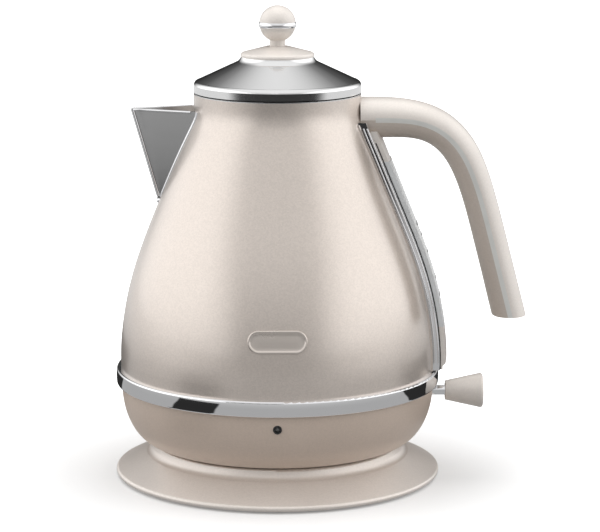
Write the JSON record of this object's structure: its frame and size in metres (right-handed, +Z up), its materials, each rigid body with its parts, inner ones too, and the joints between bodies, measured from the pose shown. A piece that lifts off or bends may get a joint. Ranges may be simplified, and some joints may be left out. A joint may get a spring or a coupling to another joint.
{
  "type": "electric kettle",
  "caption": "Flared steel jug kettle with open V spout, lift-off cone lid with ball knob, curved handle, side water gauge, push-down lever and round power base.",
  "frame": {"origin": "on the kettle's upright axis, at the table under the power base", "axes": "+Z up; +X from the axis towards the handle, the water gauge and the lever, with the spout along -X; +Y away from the face that carries the badge"},
  "size_m": [0.2225, 0.176, 0.2547],
  "materials": {
    "pearl_paint": "pearl metallic paint under clear lacquer",
    "cream_plastic": "satin moulded plastic, cream-beige",
    "polished_steel": "polished stainless steel",
    "chrome": "bright chrome plating",
    "satin_steel": "satin stainless steel",
    "trim_metal": "satin metal strip",
    "badge_metal": "satin pearl finish with a bright rim",
    "zinc_steel": "zinc-plated steel",
    "aluminium": "cast and drawn aluminium",
    "brass": "plain brass and bimetal",
    "black_rubber": "soft black rubber",
    "silicone": "translucent grey silicone",
    "dark_plastic": "dark moulded plastic",
    "white_plastic": "off-white moulded plastic",
    "clear_plastic": "clear plastic",
    "gauge_plastic": "translucent smoke-grey plastic",
    "mark_ink": "printed black"
  },
  "bodies": {
    "base": {"base_cover": "cream_plastic", "base_plate": "dark_plastic", "non_slip_ring": "black_rubber", "base_screws": "zinc_steel", "base_connector": "dark_plastic", "base_contacts": "brass", "cord_bush": "dark_plastic"},
    "jug": {"body_shell": "pearl_paint", "neck_collar": "satin_steel", "spout": "satin_steel", "filter_guides": "satin_steel", "badge": "badge_metal", "belt_ring": "chrome", "bottom_bowl": "cream_plastic", "pilot_bezel": "dark_plastic", "pilot_lens": "clear_plastic", "pilot_lamp": "white_plastic", "bottom_screws": "zinc_steel", "bowl_pillars": "zinc_steel", "switch_bracket": "zinc_steel", "pivot_pins": "zinc_steel", "steam_tube": "white_plastic", "steam_bimetal": "brass", "heater_plate": "satin_steel", "heater_seal": "silicone", "heat_spreader": "aluminium", "heating_element": "aluminium", "element_terminals": "zinc_steel", "control_housing": "white_plastic", "bimetal_discs": "brass", "jug_contacts": "brass", "gauge_trim_front": "chrome", "gauge_trim_back": "chrome", "gauge_seal": "black_rubber", "gauge_back_plate": "white_plastic", "gauge_grommets": "silicone", "gauge_window": "gauge_plastic", "gauge_marks": "mark_ink", "gauge_cap_lower": "cream_plastic", "gauge_cap_upper": "cream_plastic", "handle_upper_shell": "cream_plastic", "handle_lower_shell": "cream_plastic", "handle_trim_front": "trim_metal", "handle_trim_back": "trim_metal", "handle_bracket": "zinc_steel", "handle_screws": "zinc_steel"},
    "filter": {"filter_frame": "white_plastic", "filter_mesh": "satin_steel"},
    "lever": {"switch_rocker": "dark_plastic", "switch_stem": "chrome", "switch_knob": "cream_plastic"},
    "trip": {"trip_lever": "dark_plastic"},
    "lid": {"lid_cover": "polished_steel", "lid_cap": "cream_plastic", "knob_lower": "cream_plastic", "knob_band": "chrome", "knob_upper": "cream_plastic", "knob_stud": "zinc_steel", "lid_liner": "dark_plastic", "lid_seal": "silicone"}
  },
  "joints": [
    {"name": "jug_lift", "type": "slide", "parent": "base", "child": "jug", "axis": [0, 0, 1], "range_m": [0, 0.06]},
    {"name": "lid_lift", "type": "slide", "parent": "jug", "child": "lid", "axis": [0, 0, 1], "range_m": [0, 0.05]},
    {"name": "filter_lift", "type": "slide", "parent": "jug", "child": "filter", "axis": [0, 0, 1], "range_m": [0, 0.008]},
    {"name": "switch_lever", "type": "hinge", "parent": "jug", "child": "lever", "pos_m": [0.06, 0, 0.045], "axis": [0, 1, 0], "range_deg": [0, 10]},
    {"name": "trip_rocker", "type": "hinge", "parent": "jug", "child": "trip", "pos_m": [0.044, 0, 0.047], "axis": [0, 1, 0], "range_deg": [-10, 0]}
  ],
  "couplings": [
    {"joint": "trip_rocker", "follows": "switch_lever", "ratio": -1}
  ]
}
